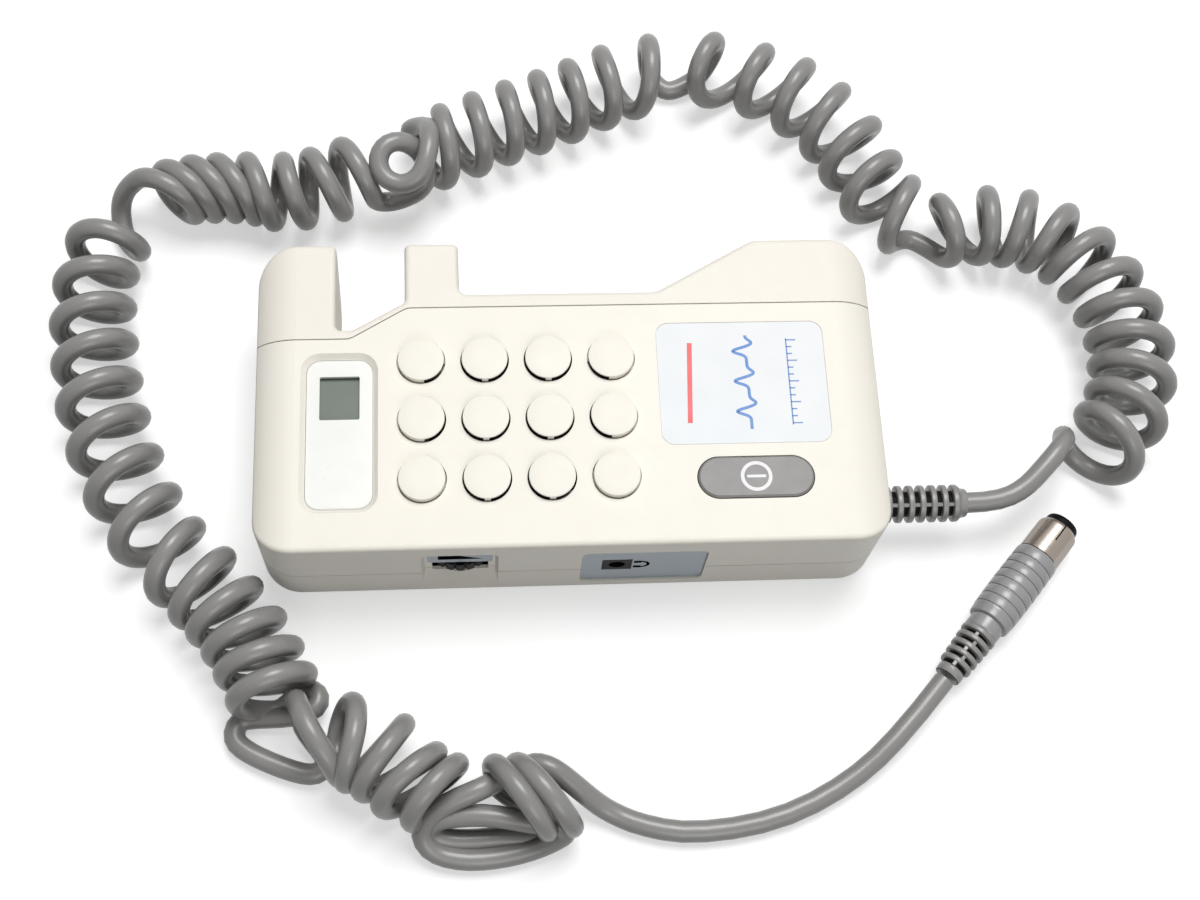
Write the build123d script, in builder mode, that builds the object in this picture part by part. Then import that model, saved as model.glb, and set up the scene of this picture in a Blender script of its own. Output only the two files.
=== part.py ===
from build123d import *
from math import cos, dist, pi, radians, sin, tan
import os

os.makedirs("parts", exist_ok=True)

# Pocket vascular doppler lying on its back, in millimetres.
# X runs along the case, Y across it, Z up out of the front face; the table is z = 0.

# Case
LENGTH = 140.0
WIDTH = 74.0
HEIGHT = 29.0
PARTING = 12.5
WALL = 2.2
ROOF = 2.4
CORNER = 9.0
CROWN_RADIUS = 12.0
CROWN_REACH = CORNER
EDGE_ROUND = 1.2
FOOT_CHAMFER = 1.2
SEAM_GAP = 0.3
SOUTH = -WIDTH / 2
EAST = LENGTH / 2
CEILING = HEIGHT - ROOF

# North side of the case: hook lug, notch, second lug, long bay, ramp and end block
BAY_Y = 24.0
NOTCH_Y = 15.5
NOTCH_LEFT = -52.3
NOTCH_FLOOR_END = -48.4
LUG_LEFT = -36.8
LUG_RIGHT = -24.6
LUG_FOOT_Y = 22.2
LUG_UNDERSIDE = 10.0
RAMP_FOOT = 20.4
RAMP_HEAD = 43.4
CASE_CORNERS = [
    (NOTCH_LEFT, WIDTH / 2, 1.3), (NOTCH_LEFT, NOTCH_Y, 1.5), (NOTCH_FLOOR_END, NOTCH_Y, 3.0),
    (LUG_LEFT, LUG_FOOT_Y, 1.5), (LUG_LEFT, WIDTH / 2, 1.3), (LUG_RIGHT, WIDTH / 2, 1.3),
    (LUG_RIGHT, BAY_Y, 2.3), (RAMP_FOOT, BAY_Y, 5.0), (RAMP_HEAD, WIDTH / 2, 6.0),
]
SEAM_LOW_X = -49.0
SEAM_LOW_Y = 13.0
SEAM_HIGH_X = -36.3
SEAM_HIGH_Y = 20.5
SEAM_ROUND = 4.0

# Speaker grille: thin discs on ribs above round holes, and the speaker behind it
DISC_PITCH = 14.13
DISC_RADIUS = 5.05
SLOT_RADIUS = 5.95
DISC_RISE = 1.4
DISC_THICKNESS = 1.5
DISC_BOTTOM = HEIGHT + DISC_RISE - DISC_THICKNESS
DISC_EDGE = 0.4
SLOT_FLOOR = HEIGHT - 1.4
FLOOR_RADIUS = SLOT_RADIUS + 0.2
BRIDGE_WIDTH = 1.4
DISC_SIDES = 20
GRILLE_X = -12.0
GRILLE_Y = -7.0
SPEAKER_RADIUS = 20.0
SPEAKER_SIDES = 20
RIM_HEIGHT = 1.6
BASKET_RADIUS = 16.0
BASKET_DEPTH = 5.0
BASKET_WALL = 1.2
MAGNET_RADIUS = 10.0
MAGNET_HEIGHT = 5.0

# Display window
DISPLAY_X = -51.2
DISPLAY_Y = -9.4
DISPLAY_WIDTH = 14.6
DISPLAY_LENGTH = 35.4
DISPLAY_BEVEL = 1.3
DISPLAY_TOP = HEIGHT - 1.2
DISPLAY_FLOOR = HEIGHT - 2.0
DISPLAY_BOARD_TOP = CEILING - 2.5
LCD_Y = -0.9
LCD_WIDTH = 8.8
LCD_LENGTH = 10.4

# Front label and power button
LABEL_X = 38.6
LABEL_Y = 0.8
LABEL_LENGTH = 38.1
LABEL_WIDTH = 29.8
LABEL_DEPTH = 0.3
BUTTON_X = 39.8
BUTTON_Y = -22.1
BUTTON_LENGTH = 25.6
BUTTON_WIDTH = 9.5
BUTTON_TOP = HEIGHT + 0.5
BUTTON_FLANGE = 0.8
SWITCH_BOARD_TOP = 21.8
SWITCH_HEIGHT = 2.3
SWITCH_STEM = 1.4

# South side: volume wheel, its thumb recess, headphone socket and its label
WHEEL_X = -25.4
WHEEL_RADIUS = 8.5
WHEEL_Y = SOUTH + 0.7 + WHEEL_RADIUS
WHEEL_BOTTOM = 11.6
WHEEL_TOP = 15.4
WHEEL_SHAFT = 1.5
WHEEL_NOTCHES = 22
NOTCH_WIDTH = 6.2
NOTCH_DROP = 1.2
THUMB_HALF = 8.4
THUMB_TOP = 24.2
THUMB_BOTTOM = 4.9
THUMB_DEPTH = 1.4
SOCKET_X = 9.4
SOCKET_Z = 13.9
SOCKET_SIZE = 6.4
SOCKET_BORE = 1.85
SIDE_LABEL_X = 15.3
SIDE_LABEL_Z = 13.6
SIDE_LABEL_LENGTH = 27.8
SIDE_LABEL_HEIGHT = 19.2
SIDE_LABEL_DEPTH = 0.8

# Battery and its sliding door
BATTERY_LENGTH = 48.5
BATTERY_WIDTH = 26.5
BATTERY_HEIGHT = 17.5
BATTERY_LEFT = 15.2
BATTERY_Y = -4.0
BATTERY_BOTTOM = 2.7
TERMINAL_PITCH = 12.7
TERMINAL_HEIGHT = 2.6
SNAP_THICKNESS = 1.6
DOOR_LEFT = 12.0
DOOR_WIDTH = 32.0
DOOR_THICKNESS = 2.0
DOOR_SLIDE = 12.0
HOOKS_X = (20.0, 44.0)
HOOK_LENGTH = 4.0
HOOK_OVERLAP = 1.1
HOOK_BOTTOM = ROOF + 0.3
HOOK_TOP = ROOF + 1.5

# Boards, bosses and screws
BOARD_LEFT = -58.5
BOARD_RIGHT = 10.7
BOARD_SOUTH = -33.5
BOARD_NORTH = 12.0
BOARD_BOTTOM = 6.4
BOARD_TOP = 8.0
CASE_SCREWS = [(-62.5, -29.5), (-62.5, 7.5), (62.5, 15.8), (55.0, -30.5)]
SCREW_SEAT = 8.0
BOARD_SCREWS = [(-54.0, -29.0), (-54.0, 8.0), (7.0, 8.0)]
WIRE = 1.0
WIRE_Y = -21.6

# Cord and its moulded boots
CORD_RADIUS = 2.4
EXIT_Y = -23.3
BOOT_FLANGE = 4.8
BOOT_NECK = 3.3
BOOT_CORE = 2.9
BOOT_RADIUS = 4.3
BOOT_RIBS = 7
BOOT_PITCH = 2.6
BOOT_SIDES = 12
BOOT_COLLAR = 3.35

# Free cord: the plain lead out of the boot, the curly coil, and the plain tail into the connector.
# The coil's route gives its axis and its radius; a winding is its end on the route, its hand and its turns.
COIL_SECTION = 2.5
TURN_BACK = 3.8
ENTRY = 0.15
LEAD = [(90.4, -23.3, 12.5), (97.6, -23.3, 12.5), (104.4, -20.6, 13.4), (109.6, -15.6, 14.9)]
COIL_ROUTE = [
    (121.0, -13.0, 8.2), (130.5, -6.0, 8.2), (137.0, 12.0, 8.2), (134.5, 30.0, 8.0), (124.0, 46.0, 7.8),
    (107.0, 51.0, 7.8), (89.0, 48.5, 7.4), (78.5, 59.0, 7.8), (72.5, 76.0, 8.0), (59.5, 90.5, 8.0),
    (40.5, 96.0, 8.0), (20.0, 94.5, 8.0), (3.5, 86.5, 8.0), (-13.0, 80.5, 8.0), (-29.0, 73.5, 8.0),
    (-47.0, 67.0, 7.8), (-65.0, 61.0, 7.4), (-82.0, 64.0, 7.2), (-98.5, 61.0, 7.2), (-109.0, 48.5, 7.2),
    (-110.5, 33.0, 7.6), (-109.0, 18.0, 7.8), (-106.5, 3.5, 8.0), (-101.0, -12.0, 8.0), (-93.0, -27.0, 8.0),
    (-81.5, -38.5, 8.0), (-72.0, -50.0, 8.2), (-66.5, -61.5, 8.4), (-60.5, -71.5, 8.4), (-45.0, -78.5, 8.4),
    (-28.5, -89.0, 8.4), (-8.0, -91.0, 8.4),
]
WINDINGS = [(5.6, -1, 11), (10.0, 1, 7), (14.0, -1, 8), (27.3, 1, 25), (29.5, -1, 5), (30.0, 1, 2)]
TAIL = [(4.1, -86.2, 2.5), (11.0, -92.0, 2.5), (23.5, -94.8, 2.5), (43.0, -92.5, 2.5), (60.0, -84.5, 2.5),
        (72.42, -74.12, 5.35), (83.1, -62.2, 5.35)]

# Connector on the table: middle of its rear end, middle of its tip, and its steps
PLUG_REAR = (83.1, -62.2)
PLUG_TIP = (115.0, -26.6)
GRIP_RADIUS = 5.35
GRIP_RINGS = 8
GRIP_GROOVE = 0.25
PLUG_SIDES = 16
PLUG_BOSS = 4.1
PLUG_BARREL = 3.9
COLLAR_RADIUS = 4.9
INSERT_RADIUS = 4.0
INSERT_TIP = 47.8
CONTACT_FLOOR = 44.0
CONTACT_CIRCLE = 1.9
CONTACT_RADIUS = 0.45
CONTACT_COUNT = 5


def case_plan():
    """Plan of the case: a rounded rectangle with the notch and the bay cut into its north side."""
    with BuildSketch() as plan:
        RectangleRounded(LENGTH, WIDTH, CORNER)
        with BuildLine():
            Polyline((NOTCH_LEFT, NOTCH_Y), (NOTCH_FLOOR_END, NOTCH_Y), (LUG_LEFT, LUG_FOOT_Y),
                     (LUG_LEFT, WIDTH), (NOTCH_LEFT, WIDTH), close=True)
        make_face(mode=Mode.SUBTRACT)
        with BuildLine():
            Polyline((LUG_RIGHT, BAY_Y), (RAMP_FOOT, BAY_Y), (RAMP_HEAD, WIDTH / 2),
                     (RAMP_HEAD, WIDTH), (LUG_RIGHT, WIDTH), close=True)
        make_face(mode=Mode.SUBTRACT)
        for x, y, radius in CASE_CORNERS:
            fillet(plan.vertices().sort_by_distance((x, y))[0], radius)
    return plan.sketch


def cavity_plan():
    """Plan of the hollow: the case less its lugs, drawn in by the wall."""
    with BuildSketch() as plan:
        RectangleRounded(LENGTH, WIDTH, CORNER)
        with BuildLine():
            Polyline((-LENGTH, BAY_Y), (NOTCH_LEFT, BAY_Y), (NOTCH_LEFT, NOTCH_Y), (NOTCH_FLOOR_END, NOTCH_Y),
                     (LUG_LEFT, LUG_FOOT_Y), (LUG_LEFT, BAY_Y), (RAMP_FOOT, BAY_Y), (RAMP_HEAD, WIDTH / 2),
                     (RAMP_HEAD, WIDTH), (-LENGTH, WIDTH), close=True)
        make_face(mode=Mode.SUBTRACT)
        offset(amount=-WALL, kind=Kind.INTERSECTION)
    return plan.sketch


def end_profile(inset=0.0):
    """Side view of the case: a flat face that falls off in an arc at each end."""
    drop = CROWN_RADIUS - (CROWN_RADIUS ** 2 - CROWN_REACH ** 2) ** 0.5
    flat = EAST - CROWN_REACH
    with BuildSketch(Plane.XZ) as profile:
        with BuildLine():
            Polyline((-EAST, HEIGHT - drop), (-EAST, 0), (EAST, 0), (EAST, HEIGHT - drop))
            Line((-flat, HEIGHT), (flat, HEIGHT))
            RadiusArc((flat, HEIGHT), (EAST, HEIGHT - drop), CROWN_RADIUS)
            RadiusArc((-EAST, HEIGHT - drop), (-flat, HEIGHT), CROWN_RADIUS)
        make_face()
        if inset:
            offset(amount=-inset, kind=Kind.INTERSECTION)
    return profile.sketch


def rim(faces):
    """The edges that only one of the faces owns: their common outline."""
    edges = [edge for face in faces for edge in face.edges()]
    return [edge for edge in edges if sum(other.is_same(edge) for other in edges) == 1]


def front_region(shift):
    """Plan of the area south of the face seam, which steps down beside the notch."""
    with BuildSketch() as region:
        with BuildLine():
            Polyline((-LENGTH, -WIDTH), (LENGTH, -WIDTH), (LENGTH, SEAM_HIGH_Y + shift),
                     (SEAM_HIGH_X, SEAM_HIGH_Y + shift), (SEAM_LOW_X, SEAM_LOW_Y + shift),
                     (-LENGTH, SEAM_LOW_Y + shift), close=True)
        make_face()
        for x, y in ((SEAM_HIGH_X, SEAM_HIGH_Y), (SEAM_LOW_X, SEAM_LOW_Y)):
            fillet(region.vertices().sort_by_distance((x, y))[0], SEAM_ROUND)
    return region.sketch


def stepped(frame, steps, sides, bore=0.0):
    """Many-sided moulding along a frame's axis: each step gives its start, end and radius in turn."""
    with BuildPart() as moulding:
        for start, end, radius in steps:
            with BuildSketch(frame.offset(start)):
                RegularPolygon(radius, sides)
            extrude(amount=end - start)
        if bore:
            with BuildSketch(frame.offset(steps[0][0])):
                RegularPolygon(bore, sides)
            extrude(amount=steps[-1][1] - steps[0][0], mode=Mode.SUBTRACT)
    return moulding


def bend_radii(points):
    """Radius of each bend on a route: 0.45 of its shorter run over the tangent of half its turn."""
    radii = []
    for before, corner, after in zip(points, points[1:], points[2:]):
        arriving = Vector(*corner) - Vector(*before)
        leaving = Vector(*after) - Vector(*corner)
        half_turn = radians(arriving.get_angle(leaving)) / 2
        radii.append(0.45 * min(arriving.length, leaving.length) / tan(half_turn))
    return radii


def tube(points, sides):
    """Plain stretch of cord along a route of straight runs and round bends."""
    radii = bend_radii(points)
    print("bend radii", [round(radius, 1) for radius in radii])
    with BuildLine() as route:
        FilletPolyline(*points, radius=radii)
    with BuildPart() as cord:
        with BuildSketch(Plane(points[0], z_dir=Vector(*points[1]) - Vector(*points[0]))):
            RegularPolygon(CORD_RADIUS, sides)
        sweep(path=route.wires()[0])
    return cord


def on_route(place):
    """Point, speed and coil radius at a place on the coil's route, a quadratic B-spline."""
    span = min(int(place), len(COIL_ROUTE) - 3)
    t = place - span
    near, middle, far = (Vector(*COIL_ROUTE[span + k]) for k in range(3))
    start = near if span == 0 else (near + middle) * 0.5
    end = far if span == len(COIL_ROUTE) - 3 else (middle + far) * 0.5
    point = start * (1 - t) ** 2 + middle * (2 * t * (1 - t)) + end * t ** 2
    speed = (middle - start) * (2 - 2 * t) + (end - middle) * (2 * t)
    return Vector(point.X, point.Y, 0), Vector(speed.X, speed.Y, 0), point.Z


def on_coil(place, angle):
    """Point on the cord's middle line where it winds round the route; it lies on the table at -90 degrees."""
    point, speed, radius = on_route(place)
    left = Vector(-speed.Y, speed.X, 0).normalized()
    rise = COIL_SECTION + radius + radius * sin(radians(angle))
    return point + left * (radius * cos(radians(angle))) + Vector(0, 0, rise)


def winding_stations(begin, end, hand, turns, first, last):
    """Stations each half turn of one winding, which stops short of the turn-backs at its ends."""
    lift = 360 * TURN_BACK / (2 * pi * on_route(begin)[2])
    start = begin if first else begin + TURN_BACK / on_route(begin)[1].length
    stop = end if last else end - TURN_BACK / on_route(end)[1].length
    start_angle = -90 if first else -90 + hand * lift
    stop_angle = -90 + hand * (360 * turns - (0 if last else lift))
    count = round(abs(stop_angle - start_angle) / 180)
    stations = []
    for k in range(count + 1):
        place, angle = (a + k / count * (b - a) for a, b in ((start, stop), (start_angle, stop_angle)))
        step, swing = 0.001 * (stop - start), 0.001 * (stop_angle - start_angle)
        ahead = on_coil(place + step, angle + swing) - on_coil(place - step, angle - swing)
        stations.append((on_coil(place, angle), ahead.normalized()))
    return stations


def coil_stations():
    """Points and headings of the coil, with its straight ends and a turn-back where its hand changes."""
    arriving = (Vector(*LEAD[-1]) - Vector(*LEAD[-2])).normalized()
    leaving = (Vector(*TAIL[1]) - Vector(*TAIL[0])).normalized()
    stations = [(Vector(*LEAD[-1]) + arriving * (2 * CORD_RADIUS), arriving)]
    begin = ENTRY
    for end, hand, turns in WINDINGS:
        first, last = begin == ENTRY, end == WINDINGS[-1][0]
        stations += winding_stations(begin, end, hand, turns, first, last)
        if not last:
            stations.append((on_coil(end, -90), on_route(end)[1].normalized()))
        begin = end
    stations.append((Vector(*TAIL[0]) - leaving * (2 * CORD_RADIUS), leaving))
    return stations


def biarc_joint(start, heading, end, onward):
    """Where two arcs of equal reach meet on the way from one station to the next, and their heading."""
    chord = end - start
    along = chord.dot(heading + onward)
    turn = 2 * (1 - heading.dot(onward))
    reach = ((along ** 2 + turn * chord.dot(chord)) ** 0.5 - along) / turn
    before = start + heading * reach
    after = end - onward * reach
    return (before + after) * 0.5, (after - before).normalized()


def least_gap(edges):
    """Least gap between the coil's turns, measured between points over 12 mm apart along its middle line."""
    points = []
    reached = 0
    for edge in edges:
        points += [(reached + edge.length * k / 8, tuple(edge.position_at(k / 8))) for k in range(8)]
        reached += edge.length
    nearest = min(dist(p, q) for s, p in points for t, q in points if t - s > 12)
    return nearest - 2 * COIL_SECTION


def export(part, name):
    """Label a finished piece with its node's name and write its file."""
    part.label = name
    export_step(part, f"parts/{name}.step")


# Case block, its hollow, and the undercut below the lugs

with BuildPart() as case_block:
    with BuildSketch():
        add(case_plan())
    extrude(amount=HEIGHT)
    with BuildSketch(Plane.XZ):
        add(end_profile())
    extrude(amount=WIDTH, both=True, mode=Mode.INTERSECT)
    top = [face for face in case_block.faces() if face.normal_at().Z > 0.5]
    fillet(rim(top), EDGE_ROUND)
    chamfer(case_block.edges().group_by(Axis.Z)[0], FOOT_CHAMFER)
    with BuildSketch(Plane.YZ.offset(LUG_RIGHT + 3)):
        with BuildLine():
            Polyline((BAY_Y, -1), (BAY_Y, LUG_UNDERSIDE), (27.5, LUG_UNDERSIDE), (30.0, PARTING),
                     (WIDTH / 2 + 0.1, HEIGHT - EDGE_ROUND), (WIDTH, HEIGHT - EDGE_ROUND), (WIDTH, -1),
                     close=True)
        make_face()
    extrude(amount=-LENGTH, mode=Mode.SUBTRACT)

with BuildPart() as hollow:
    with BuildSketch(Plane.XY.offset(WALL)):
        add(cavity_plan())
    extrude(amount=HEIGHT)
    with BuildSketch(Plane.XZ):
        add(end_profile(ROOF))
    extrude(amount=WIDTH, both=True, mode=Mode.INTERSECT)

with BuildPart() as case_shell:
    add(case_block)
    add(hollow, mode=Mode.SUBTRACT)


# Openings that both covers share: boot hole, thumb recess, side label and socket window

with BuildPart() as side_cuts:
    with BuildSketch(Plane.YZ.offset(EAST - 4)):
        with Locations((EXIT_Y, PARTING)):
            Circle(BOOT_NECK + 0.1)
    extrude(amount=8)
    with BuildSketch(Plane.XZ.offset(-SOUTH + 1)):
        with Locations((SIDE_LABEL_X, SIDE_LABEL_Z)):
            RectangleRounded(SIDE_LABEL_LENGTH, SIDE_LABEL_HEIGHT, 2.0)
    extrude(amount=-1 - SIDE_LABEL_DEPTH)
    with BuildSketch(Plane.XZ.offset(-SOUTH + 1)):
        with Locations((SOCKET_X, SOCKET_Z)):
            Rectangle(SOCKET_SIZE + 0.3, SOCKET_SIZE + 0.3)
    extrude(amount=-5)
    with BuildSketch(Plane.XZ.offset(-SOUTH)):
        with Locations((WHEEL_X, (THUMB_TOP + THUMB_BOTTOM) / 2)):
            RectangleRounded(2 * THUMB_HALF, THUMB_TOP - THUMB_BOTTOM, 1.5)
    with BuildSketch(Plane.XZ.offset(-SOUTH - THUMB_DEPTH)):
        with Locations((WHEEL_X, (THUMB_TOP - 0.4 + WHEEL_BOTTOM - 1.0) / 2)):
            RectangleRounded(2 * THUMB_HALF - 1.4, THUMB_TOP - WHEEL_BOTTOM + 0.6, 1.2)
    loft()
    with BuildSketch(Plane.XZ.offset(-SOUTH + 1)):
        with Locations((WHEEL_X, (WHEEL_TOP + WHEEL_BOTTOM) / 2)):
            Rectangle(12.4, WHEEL_TOP - WHEEL_BOTTOM + 1.0)
    extrude(amount=-5)
    with BuildSketch(Plane.XZ.offset(-SOUTH + 1)):
        with BuildLine():
            notch_top = Line((WHEEL_X - NOTCH_WIDTH / 2, WHEEL_BOTTOM - 0.4),
                             (WHEEL_X + NOTCH_WIDTH / 2, WHEEL_BOTTOM - 0.4))
            ThreePointArc(notch_top @ 0, (WHEEL_X, WHEEL_BOTTOM - 0.4 - NOTCH_DROP), notch_top @ 1)
        make_face()
    extrude(amount=-4)


def closed_parts(radius, rib_length):
    """Plan of what closes the round holes: sectors away from the speaker, and a rib across each hole."""
    with BuildSketch() as plan:
        with Locations((GRILLE_X, GRILLE_Y)):
            with GridLocations(DISC_PITCH, DISC_PITCH, 4, 3):
                RegularPolygon(radius, DISC_SIDES)
            Rectangle(3 * DISC_PITCH, 2 * DISC_PITCH, mode=Mode.SUBTRACT)
            Rectangle(2 * DISC_PITCH, 4 * DISC_PITCH, mode=Mode.SUBTRACT)
            with GridLocations(DISC_PITCH, DISC_PITCH, 4, 3):
                Rectangle(BRIDGE_WIDTH, rib_length)
    return plan.sketch


# Grille: discs with chamfered edges on their ribs and blocks, which stand on the floors of the holes

with BuildPart() as grille:
    with BuildSketch(Plane.XY.offset(DISC_BOTTOM)):
        with Locations((GRILLE_X, GRILLE_Y)):
            with GridLocations(DISC_PITCH, DISC_PITCH, 4, 3):
                RegularPolygon(DISC_RADIUS, DISC_SIDES)
    extrude(amount=DISC_THICKNESS)
    chamfer(grille.edges().group_by(Axis.Z)[-1], DISC_EDGE)
    with BuildSketch(Plane.XY.offset(CEILING)):
        add(closed_parts(DISC_RADIUS - 0.1, 2 * DISC_RADIUS - 0.6))
    extrude(amount=DISC_BOTTOM - CEILING)
    with BuildSketch(Plane.XY.offset(CEILING)):
        add(closed_parts(FLOOR_RADIUS, 2 * FLOOR_RADIUS))
    extrude(amount=SLOT_FLOOR - CEILING)


# Front cover: face with display window, speaker grille, label recess and button hole

with BuildPart() as front_cover:
    add(case_shell)
    with BuildSketch(Plane.XY.offset(PARTING + SEAM_GAP)):
        add(front_region(-SEAM_GAP / 2))
    extrude(amount=HEIGHT, mode=Mode.INTERSECT)
    add(side_cuts, mode=Mode.SUBTRACT)

    with BuildSketch(Plane.XY.offset(HEIGHT + 0.1)):
        with Locations((DISPLAY_X, DISPLAY_Y)):
            RectangleRounded(DISPLAY_WIDTH + 2 * DISPLAY_BEVEL, DISPLAY_LENGTH + 2 * DISPLAY_BEVEL, 4.4)
    with BuildSketch(Plane.XY.offset(DISPLAY_TOP)):
        with Locations((DISPLAY_X, DISPLAY_Y)):
            RectangleRounded(DISPLAY_WIDTH + 0.4, DISPLAY_LENGTH + 0.4, 3.4)
    loft(mode=Mode.SUBTRACT)
    with BuildSketch(Plane.XY.offset(DISPLAY_FLOOR)):
        with Locations((DISPLAY_X, DISPLAY_Y)):
            RectangleRounded(DISPLAY_WIDTH + 0.2, DISPLAY_LENGTH + 0.2, 3.3)
    extrude(amount=HEIGHT, mode=Mode.SUBTRACT)
    with BuildSketch(Plane.XY.offset(CEILING - 1)):
        with Locations((DISPLAY_X, LCD_Y)):
            Rectangle(LCD_WIDTH + 0.6, LCD_LENGTH + 0.6)
    extrude(amount=HEIGHT, mode=Mode.SUBTRACT)

    with BuildSketch(Plane.XY.offset(HEIGHT - LABEL_DEPTH)):
        with Locations((LABEL_X, LABEL_Y)):
            RectangleRounded(LABEL_LENGTH, LABEL_WIDTH, 3.0)
    extrude(amount=HEIGHT, mode=Mode.SUBTRACT)
    with BuildSketch(Plane.XY.offset(CEILING - 1)):
        with Locations((BUTTON_X, BUTTON_Y)):
            SlotOverall(BUTTON_LENGTH + 0.5, BUTTON_WIDTH + 0.5)
    extrude(amount=HEIGHT, mode=Mode.SUBTRACT)

    with BuildSketch(Plane.XY.offset(CEILING - 0.5)):
        with Locations((GRILLE_X, GRILLE_Y)):
            with GridLocations(DISC_PITCH, DISC_PITCH, 4, 3):
                RegularPolygon(SLOT_RADIUS, DISC_SIDES)
    extrude(amount=HEIGHT, mode=Mode.SUBTRACT)
    add(grille)

    with BuildSketch(Plane.XY.offset(CEILING + 0.5)):
        with Locations((GRILLE_X, GRILLE_Y)):
            RegularPolygon(SPEAKER_RADIUS + 1.4, SPEAKER_SIDES)
            RegularPolygon(SPEAKER_RADIUS + 0.2, SPEAKER_SIDES, mode=Mode.SUBTRACT)
    extrude(amount=-3.5)
    with BuildSketch(Plane.XY.offset(PARTING + SEAM_GAP)):
        with Locations(CASE_SCREWS):
            RegularPolygon(3.0, 12)
            RegularPolygon(1.5, 8, mode=Mode.SUBTRACT)
    extrude(amount=CEILING - PARTING)


# Back cover: tray with the north side, the lugs, the screw tubes and the battery opening

with BuildPart() as back_cover:
    add(case_shell)
    with BuildSketch(Plane.XY.offset(PARTING)):
        add(front_region(SEAM_GAP / 2))
    extrude(amount=HEIGHT, mode=Mode.SUBTRACT)
    with BuildSketch(Plane.XY.offset(WALL)):
        with Locations(CASE_SCREWS):
            RegularPolygon(4.0, 12)
    extrude(amount=PARTING - WALL)
    with BuildSketch(Plane.XY.offset(WALL)):
        with Locations(BOARD_SCREWS):
            Rectangle(4.0, 4.0)
        with Locations((38.0, BATTERY_Y - DOOR_WIDTH / 2 - 2.6)):
            Rectangle(48.0, 1.2)
    extrude(amount=BOARD_BOTTOM - WALL)
    with BuildSketch():
        with Locations(CASE_SCREWS):
            Circle(2.7)
    extrude(amount=SCREW_SEAT, mode=Mode.SUBTRACT)
    with BuildSketch(Plane.XY.offset(SCREW_SEAT - 1)):
        with Locations(CASE_SCREWS):
            RegularPolygon(1.7, 8)
    extrude(amount=PARTING, mode=Mode.SUBTRACT)
    add(side_cuts, mode=Mode.SUBTRACT)
    with BuildSketch():
        with Locations((DOOR_LEFT - 0.2 + LENGTH / 2, BATTERY_Y)):
            Rectangle(LENGTH, DOOR_WIDTH + 0.4)
        for x in HOOKS_X:
            with Locations((x + DOOR_SLIDE, BATTERY_Y)):
                Rectangle(HOOK_LENGTH + 0.8, DOOR_WIDTH + 2 * HOOK_OVERLAP + 0.8)
    extrude(amount=ROOF, mode=Mode.SUBTRACT)


# Battery door: sliding plate with thumb ribs and four hooks that run above the floor

with BuildPart() as battery_door:
    add(case_block)
    with BuildSketch():
        with Locations((DOOR_LEFT + LENGTH / 2, BATTERY_Y)):
            Rectangle(LENGTH, DOOR_WIDTH)
    extrude(amount=DOOR_THICKNESS, mode=Mode.INTERSECT)
    with BuildSketch(Plane.XY.offset(DOOR_THICKNESS)):
        for x in HOOKS_X:
            with Locations((x, BATTERY_Y)):
                Rectangle(HOOK_LENGTH, DOOR_WIDTH)
                Rectangle(HOOK_LENGTH, DOOR_WIDTH - 2.4, mode=Mode.SUBTRACT)
    extrude(amount=HOOK_TOP - DOOR_THICKNESS)
    with BuildSketch(Plane.XY.offset(HOOK_BOTTOM)):
        for x in HOOKS_X:
            with Locations((x, BATTERY_Y)):
                Rectangle(HOOK_LENGTH, DOOR_WIDTH + 2 * HOOK_OVERLAP)
                Rectangle(HOOK_LENGTH, DOOR_WIDTH - 2.4, mode=Mode.SUBTRACT)
    extrude(amount=HOOK_TOP - HOOK_BOTTOM)
    with BuildSketch():
        with Locations((58.0, BATTERY_Y)):
            with GridLocations(2.4, 1, 5, 1):
                Rectangle(1.2, 18.0)
    extrude(amount=0.6, mode=Mode.SUBTRACT)


# Display: window plate, glass, its small board and the pin header down to the main board

with BuildPart() as display_window:
    with BuildSketch(Plane.XY.offset(DISPLAY_FLOOR)):
        with Locations((DISPLAY_X, DISPLAY_Y)):
            RectangleRounded(DISPLAY_WIDTH, DISPLAY_LENGTH, 3.2)
    extrude(amount=DISPLAY_TOP - DISPLAY_FLOOR)

with BuildPart() as lcd_module:
    with BuildSketch(Plane.XY.offset(DISPLAY_BOARD_TOP)):
        with Locations((DISPLAY_X, LCD_Y)):
            Rectangle(LCD_WIDTH + 3.0, LCD_LENGTH + 5.0)
    extrude(amount=CEILING - DISPLAY_BOARD_TOP)

with BuildPart() as display_board:
    with BuildSketch(Plane.XY.offset(DISPLAY_BOARD_TOP)):
        with Locations((DISPLAY_X, DISPLAY_Y)):
            Rectangle(14.0, 34.0)
    extrude(amount=-1.2)

with BuildPart() as display_header:
    with BuildSketch(Plane.XY.offset(BOARD_TOP)):
        with Locations((DISPLAY_X, DISPLAY_Y - 13.0)):
            Rectangle(10.0, 2.4)
    extrude(amount=DISPLAY_BOARD_TOP - 1.2 - BOARD_TOP)


# Front label, power button, and the push switch and its board under the button

with BuildPart() as front_label:
    with BuildSketch(Plane.XY.offset(HEIGHT - LABEL_DEPTH)):
        with Locations((LABEL_X, LABEL_Y)):
            RectangleRounded(LABEL_LENGTH - 0.2, LABEL_WIDTH - 0.2, 2.9)
    extrude(amount=LABEL_DEPTH - 0.05)

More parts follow.
